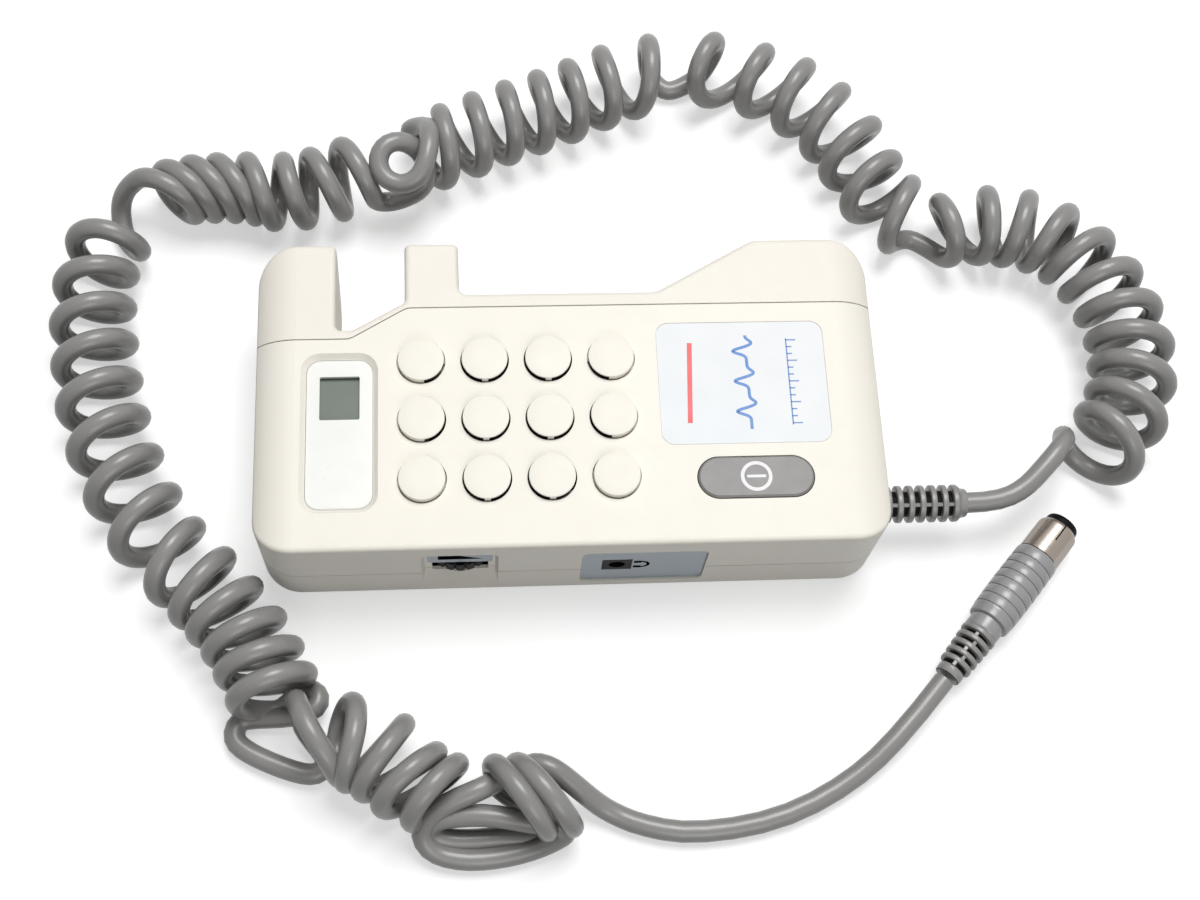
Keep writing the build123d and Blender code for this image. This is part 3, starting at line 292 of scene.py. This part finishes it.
def quads(rings, columns, closed=False):
    """Faces between rings of as many points each; closed joins the last ring to the first."""
    faces = []
    for ring in range(rings if closed else rings - 1):
        near, far = ring * columns, (ring + 1) % rings * columns
        for column in range(columns):
            after = (column + 1) % columns
            faces.append((near + column, near + after, far + after, far + column))
    return faces


def turned(name, origin, heading, rows, material, columns=64, shape=None, painted_shade=None, crease=40):
    """Turned surface: at distance t along the axis the radius is r, and shape(t, r, angle) may change it.

    A point is origin + t * heading + r * (cos(angle) * up + sin(angle) * side), and both ends are closed
    by one point on the axis. Faces are painted black, as shade, where the shade test says so for t, r and
    angle at each face's middle and its largest radius.
    """
    heading = np.array(heading, float) / np.linalg.norm(heading)
    up = np.array([1.0, 0.0, 0.0]) if heading[2] > 0.9 else np.array([0.0, 0.0, 1.0])
    side = np.cross(heading, up)
    angle = np.linspace(0, 2 * math.pi, columns, endpoint=False)
    t, r = np.array(rows, float).T
    grid_t, grid_angle = np.meshgrid(t, angle, indexing="ij")
    grid_r = np.repeat(r[:, None], columns, axis=1)
    if shape:
        grid_r = shape(grid_t, grid_r, grid_angle)
    ring = np.cos(grid_angle)[..., None] * up + np.sin(grid_angle)[..., None] * side
    points = np.array(origin) + grid_t[..., None] * heading + grid_r[..., None] * ring
    points = points.reshape(-1, 3)
    rear, front = len(points), len(points) + 1
    points = np.vstack([points, origin + t[0] * heading, origin + t[-1] * heading])
    faces = quads(len(t), columns)
    last = (len(t) - 1) * columns
    for column in range(columns):
        after = (column + 1) % columns
        faces.append((rear, after, column))
        faces.append((front, last + column, last + after))
    # Painted shade: the second slot is black, for faces that stand in shade
    materials = [material, black] if painted_shade else [material]
    piece = mesh_piece(name, points, [face[::-1] for face in faces], materials, crease=crease)
    if painted_shade:
        wide = np.maximum(grid_r, np.roll(grid_r, -1, axis=1))
        mid_t, mid_angle = np.meshgrid((t[:-1] + t[1:]) / 2, angle + math.pi / columns, indexing="ij")
        is_painted_shade = np.zeros(len(faces), int)
        is_painted_shade[:mid_t.size] = painted_shade(mid_t, np.maximum(wide[:-1], wide[1:]), mid_angle).ravel()
        piece.data.polygons.foreach_set("material_index", is_painted_shade)
    return piece


def turn_from(angle, where):
    """Signed angle from one direction to another, the short way round."""
    return (angle - where + math.pi) % (2 * math.pi) - math.pi


def strip(points, width):
    """Flat ribbon of one width along a line of points, as points and faces."""
    points = np.array(points, float)
    ahead = np.gradient(points, axis=0)
    ahead /= np.linalg.norm(ahead, axis=1, keepdims=True)
    across = np.column_stack([-ahead[:, 1], ahead[:, 0]]) * width / 2
    both = np.empty((2 * len(points), 2))
    both[0::2], both[1::2] = points + across, points - across
    return both, [(2 * k + 1, 2 * k + 3, 2 * k + 2, 2 * k) for k in range(len(points) - 1)]


def printed(name, shapes, plane, material, body=UNIT):
    """Print on a face: flat shapes given as (points, faces) in the face's own two directions."""
    points, faces = [], []
    for shape_points, shape_faces in shapes:
        faces += [tuple(index + len(points) for index in face) for face in shape_faces]
        points += [plane(u, v) for u, v in shape_points]
    piece = mesh_piece(name, points, faces, [material], smooth=False)
    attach(piece, body)
    return piece


def arc(middle, radius, start, end, count):
    """Points of an arc, its ends given in degrees."""
    angle = np.radians(np.linspace(start, end, count))
    return np.column_stack([middle[0] + radius * np.cos(angle), middle[1] + radius * np.sin(angle)])


def use(material, *names):
    """Give CAD nodes a material in every slot."""
    for name in names:
        node = NODES[name]
        if not node.material_slots:
            node.data.materials.append(None)
        for slot in node.material_slots:
            slot.link = "OBJECT"
            slot.material = material


place_camera()

ivory = surface("ivory", (243, 239, 229), (239, 235, 224), 0.45, Specular_IOR_Level=0.25)
ivory_back = surface("ivory_back", (240, 236, 226), (236, 231, 221), 0.45, Specular_IOR_Level=0.25)
label_white = surface("label_white", (228, 228, 227), (218, 224, 229), 0.35, relief=0.000005, blend=25.0,
                      Specular_IOR_Level=0.3)
label_blue = surface("label_blue_grey", (164, 175, 184), (158, 170, 180), 0.35, relief=0.000005)
window_white = surface("window_white", (225, 225, 221), (220, 221, 216), 0.3, relief=0.000004)
lcd_grey = surface("lcd_grey", (98, 108, 98), (92, 101, 92), 0.35, relief=0.000003, Specular_IOR_Level=0.3)
button_grey = surface("button_grey", (131, 129, 127), (124, 122, 120), 0.45)
print_light = surface("print_light", (228, 228, 230), (222, 222, 225), 0.45)
print_blue = surface("print_blue", (44, 116, 190), (36, 104, 178), 0.4)
print_red = surface("print_red", (222, 54, 60), (210, 46, 54), 0.4)
# Black plastic, also painted as shade on the boot gaps, the collar's slit and the walls under the grille
# discs
black = surface("black_plastic", (12, 12, 13), (8, 8, 9), 0.5, Specular_IOR_Level=0.08)
print_black = surface("print_black", (12, 12, 13), (8, 8, 9), 0.8, relief=0.000003, Specular_IOR_Level=0.0)
cord_grey = surface("cord_grey", (141, 140, 138), (133, 132, 130), 0.3, grain=1500.0, Specular_IOR_Level=0.5)
boot_grey = surface("boot_grey", (146, 145, 143), (138, 137, 135), 0.3, relief=0.000008)
plug_grey = surface("plug_grey", (152, 152, 153), (145, 145, 146), 0.28, relief=0.000006,
                    Specular_IOR_Level=0.6)
collar_metal = surface("collar_metal", (158, 148, 138), (150, 141, 132), 0.28, relief=0.000002, Metallic=0.7)
steel = surface("steel", (176, 177, 179), (160, 161, 164), 0.3, Metallic=1.0)
brass = surface("brass", (205, 170, 96), (190, 155, 84), 0.28, Metallic=1.0)
board_green = surface("board_green", (38, 92, 62), (30, 80, 54), 0.4)
paper = surface("cone_paper", (52, 50, 48), (42, 40, 38), 0.8, relief=0.0001)
wrap = surface("battery_wrap", (70, 74, 84), (60, 64, 74), 0.35)

use(ivory, "front_cover")
use(ivory_back, "back_cover", "battery_door")
use(label_white, "front_label")
use(label_blue, "volume_label", "socket_label")
use(lcd_grey, "lcd_module")
use(button_grey, "power_button")
use(black, "switch_plunger", "power_switch", "volume_wheel", "volume_control", "headphone_socket",
    "display_header", "battery_snap", "battery_leads", "cord_wires", "speaker_leads", "switch_leads",
    "speaker_frame")
use(brass, "connector_contacts")
use(board_green, "main_board", "display_board", "switch_board")
use(steel, "case_screws", "board_screws", "speaker_magnet")
use(paper, "speaker_cone")
use(wrap, "battery")

cord_points = np.concatenate([LEAD, ENTRY_BEND, coil_points(), EXIT_BEND, TAIL])
cord = spline_curve("curly_cord", cord_points)
cord.data.resolution_u = 3
cord.data.bevel_depth = CORD_RADIUS
cord.data.bevel_resolution = 5
cord.data.materials.append(cord_grey)
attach(cord, UNIT)
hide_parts("cord_lead", "cord_coil", "cord_tail")


# Ribbed boots: rounded rings on a core, with two small bridges across each gap, whose core is painted black
# as shade

CORE = 0.0029
BRIDGE = 0.0036


def ring_rows(start, width, radius, corner=0.0003):
    """Rows of one rounded ring that stands on the core."""
    rise = [(start + corner * (1 - math.cos(a)), radius - corner * (1 - math.sin(a)))
            for a in np.radians([0, 30, 60, 90])]
    fall = [(2 * start + width - t, r) for t, r in rise[::-1]]
    return [(start, CORE)] + rise + fall + [(start + width, CORE)]


def bridged(gaps, half):
    """Shape for turned() with bridges given as start, end and angle; half is half their width in radians."""
    def shape(t, r, angle):
        for start, end, where in gaps:
            inside = (t >= start - 1e-7) & (t <= end + 1e-7) & (np.abs(turn_from(angle, where)) < half)
            r = np.where(inside, np.maximum(r, BRIDGE), r)
        return r
    return shape


def shade_in_gap(t, r, angle):
    """Painted shade: a gap's faces that lie on the core are black."""
    return r < CORE + 0.0001


def case_boot():
    """Boot at the case: a stepped foot, seven rings and a round tip."""
    foot, gap, ring = 0.0042, 0.0013, 0.0013
    rows = [(0.0, 0.0048), (0.0018, 0.0048), (0.0018, 0.0033), (foot, 0.0033), (foot, CORE)]
    gaps = []
    for number in range(7):
        start = foot + number * (gap + ring)
        rows += [(start + 0.0002, CORE), (start + 0.0011, CORE)]
        gaps += [(start, start + gap, math.radians(where)) for where in (24, 204)]
        rows += ring_rows(start + gap, ring, 0.0043)
    # The last ring runs on into the tip
    rows[-1] = (0.0224, 0.00415)
    rows += [(0.0228, 0.0038), (0.0232, 0.00345), (0.0236, 0.00335), (0.0242, 0.0033), (0.0245, 0.0031),
             (0.0246, 0.0027)]
    return turned("boot_at_case", (0.0658, -0.0233, 0.0125), (1, 0, 0), rows, boot_grey, 96,
                  bridged(gaps, 0.12), shade_in_gap)


boot = case_boot()
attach(boot, UNIT)
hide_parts("strain_relief")


# Connector: ribbed boot and body, grip sleeve with narrow grooves, keyed metal collar and black insert

PLUG_REAR = np.array([0.0831, -0.0622, 0.00535])
PLUG_HEADING = np.array([0.0319, 0.0356, 0.0])
# One groove of the grip and the land in front of it: distance from the groove's middle, and depth
GROOVE = [
    (-0.0003, 0.00004), (-0.00012, 0.0001), (-0.00008, 0.0003), (0.00008, 0.0003), (0.00012, 0.0001),
    (0.0003, 0.00003), (0.0012, 0.0),
]
GROOVES = 7
# Collar: angles of its flats and their distance from the axis; angle, half-width, start and depth of its slit
FLAT_ANGLES = (math.radians(62), math.radians(242))
FLAT_REACH = 0.00462
SLIT_ANGLE = math.radians(8)
SLIT_HALF = 0.03
SLIT_START = 0.0412
SLIT_DEPTH = 0.0003


def bend_boot():
    """Boot at the connector: five rings that grow towards the body."""
    foot, gap, ring, pitch = 0.0021, 0.0010, 0.0012, 0.0022
    rows = [(0.0, 0.0027), (0.0001, 0.0029), (0.0003, 0.00305), (0.0018, 0.00315), (foot, 0.0030),
            (foot, CORE)]
    gaps = []
    for number in range(5):
        start = foot + pitch * number
        rows += [(start + 0.0001, CORE), (start + 0.0009, CORE)]
        # Every other gap has its bridges turned a little
        swing = 14 * (number % 2)
        gaps += [(start, start + gap + 0.0001, math.radians(where + swing)) for where in (-8, 172)]
        rows += ring_rows(start + gap, ring, 0.0038 + 0.00012 * number)
    return turned("connector_bend_boot", PLUG_REAR, PLUG_HEADING, rows, boot_grey, 96,
                  bridged(gaps, 0.13), shade_in_gap)


def grip():
    """Grip sleeve: stepped at both ends, with grooves round a side that swells a little in its middle."""
    rows = [(0.0165, 0.0042), (0.0165, 0.0046), (0.0167, 0.0049), (0.0172, 0.0050), (0.0185, 0.00505)]
    for number in range(GROOVES):
        middle = 0.0192 + number * 0.00245
        swell = 0.0052 + 0.00015 * math.sin(math.pi * (number + 0.5) / GROOVES)
        rows += [(middle + along, swell - depth) for along, depth in GROOVE]
    rows += [(0.0362, 0.0052), (0.0366, 0.0051), (0.0368, 0.0049), (0.0368, 0.0042)]
    return turned("connector_grip", PLUG_REAR, PLUG_HEADING, rows, plug_grey, 96)


def at_slit(t, angle):
    """Whether places on the collar are at its slit."""
    return (np.abs(turn_from(angle, SLIT_ANGLE)) < SLIT_HALF) & (t > SLIT_START)


def keyed(t, r, angle):
    """Shape of the collar: two flats, cut 0.28 mm into the round, and a narrow slit from its front end."""
    for where in FLAT_ANGLES:
        facing = np.cos(turn_from(angle, where))
        r = np.where(facing > 0.4, np.minimum(r, FLAT_REACH / np.maximum(facing, 0.4)), r)
    return np.where(at_slit(t, angle), r - SLIT_DEPTH, r)


def shade_in_slit(t, r, angle):
    """Painted shade: the slit is black on the collar's outside only."""
    return at_slit(t, angle) & (r > 0.0043)


plug_boot = bend_boot()
plug_body = turned("connector_core", PLUG_REAR, PLUG_HEADING,
                   [(0.0131, 0.0038), (0.0133, 0.0040), (0.0136, 0.0041), (0.0170, 0.0041), (0.0171, 0.0039),
                    (0.0370, 0.0039)], plug_grey)
plug_sleeve = grip()
collar = turned("connector_collar_keyed", PLUG_REAR, PLUG_HEADING,
                [(0.0370, 0.0041), (0.0370, 0.0049), (0.0411, 0.0049), (0.0413, 0.0049), (0.0450, 0.00485),
                 (0.0455, 0.0047), (0.0459, 0.0044), (0.0460, 0.0041), (0.0459, 0.00402), (0.0372, 0.00402)],
                collar_metal, 180, keyed, shade_in_slit, crease=12)
insert = turned("connector_insert_round", PLUG_REAR, PLUG_HEADING,
                [(0.0435, 0.0040), (0.0470, 0.0040), (0.0475, 0.0039), (0.0478, 0.0037), (0.0478, 0.0034),
                 (0.0476, 0.0032), (0.0440, 0.0032)], black)
for piece, node, slot in (
    (plug_boot, "connector_boot", "cord_grey"), (plug_body, "connector_body", "plug_grey"),
    (collar, "connector_collar", "steel"), (insert, "connector_insert", "black_plastic"),
):
    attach(piece, UNIT)
    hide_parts(node)
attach(plug_sleeve, "connector_sleeve")
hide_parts("connector_sleeve")


# Prints: pulse wave and bar on the front label, power symbol, volume wedge and headphone symbol

LABEL_MIDDLE = (0.0386, 0.0008, 0.02897)
BUTTON_MIDDLE = (0.0398, -0.0221, 0.02952)
VOLUME_LABEL_DEPTH = -0.03583
SOCKET_LABEL_DEPTH = -0.03653


def on_top(middle):
    """Plane of a print on the front, measured from the middle of what it is printed on."""
    return lambda u, v: (middle[0] + u, middle[1] + v, middle[2])


def on_side(depth):
    """Plane of a print on the near side, in the frame's own X and Z."""
    return lambda u, v: (u, depth, v)


def pulse_wave():
    """Line of three pulses across the label, each a peak with a smaller dip after it."""
    along = np.linspace(-0.0115, 0.0115, 160)
    wave = np.zeros_like(along)
    for peak in (-0.0072, 0.0002, 0.0076):
        for height, middle in ((1.0, peak), (-0.45, peak + 0.0020)):
            wave += 0.0030 * height * np.exp(-((along - middle) / 0.0009) ** 2)
    return np.column_stack([0.0012 - wave, along])


def tick_scale():
    """Ribbons of a scale of thirteen ticks, every third one longer, and of the line that they stand on."""
    ticks = []
    for number in range(13):
        place = -0.0102 + 0.0017 * number
        length = 0.0022 if number % 3 == 0 else 0.0012
        ticks.append(strip([(0.0105, place), (0.0105 + length, place)], 0.0003))
    return ticks + [strip([(0.0105, -0.0106), (0.0105, 0.0106)], 0.0003)]


printed("label_wave", [strip(pulse_wave(), 0.0007)] + tick_scale(), on_top(LABEL_MIDDLE), print_blue)
bar = strip([(-0.0125, -0.0098), (-0.0115, 0.0098)], 0.0011)
printed("label_bar", [bar], on_top(LABEL_MIDDLE), print_red)

symbol = [strip(arc((0, 0), 0.0031, 0, 360, 73), 0.0008), strip([(-0.0021, 0), (0.0021, 0)], 0.00065)]
printed("power_symbol", symbol, on_top(BUTTON_MIDDLE), print_light, "power_button")

wedge = ([(-0.0302, 0.0227), (-0.0302, 0.0183), (-0.0206, 0.0184)], [(0, 1, 2)])
printed("volume_wedge", [wedge], on_side(VOLUME_LABEL_DEPTH), print_black)
headphones = [strip(arc((0.0146, 0.0139), 0.0018, -100, 100, 32), 0.0007),
              strip([(0.0131, 0.0123), (0.0148, 0.0123)], 0.0013),
              strip([(0.0131, 0.0155), (0.0148, 0.0155)], 0.0013)]
printed("headphone_symbol", headphones, on_side(SOCKET_LABEL_DEPTH), print_black)


# Window plate: a rounded plate with an oblong opening over the display glass

def rounded(middle, half_x, half_y, radius, steps=8):
    """Points of a rounded oblong, corner by corner from its right side round to the left."""
    points = []
    for quarter, (x, y) in enumerate(((1, 1), (-1, 1), (-1, -1), (1, -1))):
        for angle in np.radians(np.linspace(90 * quarter, 90 * quarter + 90, steps)):
            points.append((middle[0] + x * (half_x - radius) + radius * math.cos(angle),
                           middle[1] + y * (half_y - radius) + radius * math.sin(angle)))
    return np.array(points)


def plate_rings(outer, inner, low, high):
    """Closed plate between two loops of as many points: bottom, outer wall, bevel, top and inner wall."""
    middle = outer.mean(axis=0)
    inset = middle + (outer - middle) * 0.985
    loops = [(outer, low), (outer, high - 0.0001), (inset, high), (inner, high), (inner, low)]
    points = np.vstack([np.column_stack([loop, np.full(len(loop), height)]) for loop, height in loops])
    return points, quads(len(loops), len(outer), closed=True)


window_outer = rounded((-0.0512, -0.0094), 0.0073, 0.0177, 0.0032)
window_inner = rounded((-0.0512, -0.0009), 0.0044, 0.0052, 0.0004)
window_points, window_faces = plate_rings(window_outer, window_inner, 0.0270, 0.0278)
window = mesh_piece("window_plate", window_points, window_faces, [window_white], smooth=False)
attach(window, UNIT)
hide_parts("display_window")


# Grille: flat discs with a small round edge over the flat-sided ones, and round rims in the holes

DISC_PITCH = 0.01413
GRILLE_MIDDLE = (-0.0120, -0.0070)
# Discs: radius at the lip and of the wall below it, heights of the lip and of its edge's start, and that edge
DISC_RADIUS = 0.00511
DISC_WALL = 0.00508
DISC_LIP = 0.03012
DISC_SHOULDER = 0.03026
DISC_EDGE = 0.00016
RIB_HALF = 0.0007
RIM_OUTER = 0.00615
RIM_INNER = 0.00542
RIM_LOW = 0.02880
RIM_HIGH = 0.02904
RIM_COLUMNS = 96

disc_rows = [(0.02888, 0.0049), (0.02890, DISC_WALL), (DISC_LIP, DISC_WALL), (DISC_LIP, DISC_RADIUS),
             (DISC_SHOULDER, DISC_RADIUS)]
disc_rows += [(DISC_SHOULDER + DISC_EDGE * math.sin(a), DISC_RADIUS - DISC_EDGE * (1 - math.cos(a)))
              for a in np.radians([30, 60, 90])]
disc_rows += [(0.03043, 0.0020)]


def shade_over_opening(column, row):
    """Painted shade on a disc's wall below its lip: black over the open parts of the hole, pale over the
    ribs.
    """
    def painted_shade(t, r, angle):
        u = DISC_PITCH * (column - 1.5) + r * np.cos(angle)
        v = DISC_PITCH * (row - 1) + r * np.sin(angle)
        wide = (np.abs(u) < 1.5 * DISC_PITCH) & (np.abs(v) < DISC_PITCH)
        tall = (np.abs(u) < DISC_PITCH) & (np.abs(v) < 2 * DISC_PITCH)
        return (wide | tall) & (np.abs(r * np.cos(angle)) > RIB_HALF) & (t < DISC_LIP)
    return painted_shade


def round_rim(middle):
    """Flat ring round one hole, as points and faces."""
    end = 360 - 360 / RIM_COLUMNS
    outer = arc(middle, RIM_OUTER, 0, end, RIM_COLUMNS)
    inner = arc(middle, RIM_INNER, 0, end, RIM_COLUMNS)
    return plate_rings(outer, inner, RIM_LOW, RIM_HIGH)


rim_points, rim_faces = [], []
for row in range(3):
    for column in range(4):
        u = GRILLE_MIDDLE[0] + DISC_PITCH * (column - 1.5)
        v = GRILLE_MIDDLE[1] + DISC_PITCH * (row - 1)
        disc = turned(f"grille_disc_{row + 1}_{column + 1}", (u, v, 0.0), (0, 0, 1), disc_rows, ivory, 96,
                      painted_shade=shade_over_opening(column, row))
        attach(disc, UNIT)
        points, faces = round_rim((u, v))
        rim_faces += [tuple(index + len(rim_points) for index in face) for face in faces]
        rim_points += list(points)
rims = mesh_piece("grille_rims", rim_points, rim_faces, [ivory])
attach(rims, UNIT)


# Studio: pale floor, white world and a broad soft lamp overhead with a weak one in front

FLOOR_HALF = 3
GLOW = {"From Min": 0.22, "From Max": 0.75, "To Min": 0.52, "To Max": 1.0}


def white_to_the_eye(tree, plain, white, output):
    """Show the white side of a mix to camera, glossy and transmission rays, and the plain side to others."""
    path = tree.nodes.new("ShaderNodeLightPath")
    first = tree.nodes.new("ShaderNodeMath")
    second = tree.nodes.new("ShaderNodeMath")
    first.operation = second.operation = "MAXIMUM"
    tree.links.new(path.outputs["Is Camera Ray"], first.inputs[0])
    tree.links.new(path.outputs["Is Glossy Ray"], first.inputs[1])
    tree.links.new(first.outputs["Value"], second.inputs[0])
    tree.links.new(path.outputs["Is Transmission Ray"], second.inputs[1])
    mix = tree.nodes.new("ShaderNodeMixShader")
    tree.links.new(second.outputs["Value"], mix.inputs["Fac"])
    tree.links.new(plain, mix.inputs[1])
    tree.links.new(white, mix.inputs[2])
    tree.links.new(mix.outputs["Shader"], output)


def diffuse(tree, grey):
    """Output of a matt shader of one grey."""
    node = tree.nodes.new("ShaderNodeBsdfDiffuse")
    node.inputs["Color"].default_value = (grey, grey, grey, 1)
    return node.outputs["BSDF"]


def floor_material():
    """Pale floor with a little light of its own towards the eye, which grows with the distance from the part.

    It reads white round the shadow and runs on into the white world.
    """
    material = bpy.data.materials.new("floor")
    material.use_nodes = True
    tree = material.node_tree
    tree.nodes.remove(tree.nodes["Principled BSDF"])
    plain = diffuse(tree, 0.28)
    pale = diffuse(tree, 0.6)
    glow = tree.nodes.new("ShaderNodeEmission")
    away = tree.nodes.new("ShaderNodeVectorMath")
    away.operation = "LENGTH"
    tree.links.new(tree.nodes.new("ShaderNodeTexCoord").outputs["Object"], away.inputs[0])
    rise = tree.nodes.new("ShaderNodeMapRange")
    rise.interpolation_type = "SMOOTHSTEP"
    for socket, value in GLOW.items():
        rise.inputs[socket].default_value = value
    tree.links.new(away.outputs["Value"], rise.inputs["Value"])
    tree.links.new(rise.outputs["Result"], glow.inputs["Strength"])
    both = tree.nodes.new("ShaderNodeAddShader")
    tree.links.new(pale, both.inputs[0])
    tree.links.new(glow.outputs["Emission"], both.inputs[1])
    white_to_the_eye(tree, plain, both.outputs["Shader"], tree.nodes["Material Output"].inputs["Surface"])
    return material


def white_world():
    """White world to the eye that lights the scene weakly."""
    world = bpy.data.worlds.new("studio")
    world.use_nodes = True
    tree = world.node_tree
    plain = tree.nodes["Background"]
    white = tree.nodes.new("ShaderNodeBackground")
    for background, strength in ((plain, 0.12), (white, 1.0)):
        background.inputs["Color"].default_value = (1, 1, 1, 1)
        background.inputs["Strength"].default_value = strength
    white_to_the_eye(tree, plain.outputs["Background"], white.outputs["Background"],
                     tree.nodes["World Output"].inputs["Surface"])
    bpy.context.scene.world = world


def lamp(name, place, target, size, power):
    """Square area lamp that faces a point."""
    data = bpy.data.lights.new(name, "AREA")
    data.size = size
    data.energy = power
    obj = link(bpy.data.objects.new(name, data))
    obj.location = place
    obj.rotation_mode = "QUATERNION"
    obj.rotation_quaternion = (Vector(target) - Vector(place)).to_track_quat("-Z", "Y")


floor_corners = [(FLOOR_HALF * x, FLOOR_HALF * y, 0) for x, y in ((-1, -1), (1, -1), (1, 1), (-1, 1))]
floor = mesh_piece("floor", floor_corners, [(0, 1, 2, 3)], [floor_material()])
white_world()
lamp("lamp_overhead", place=(0.16, 0.42, 1.25), target=(0.02, 0, 0), size=0.7, power=15.6)
lamp("lamp_front", place=(0.2, -1.0, 0.7), target=(0, 0, 0), size=0.6, power=3.5)
bpy.context.scene.view_settings.view_transform = "Standard"
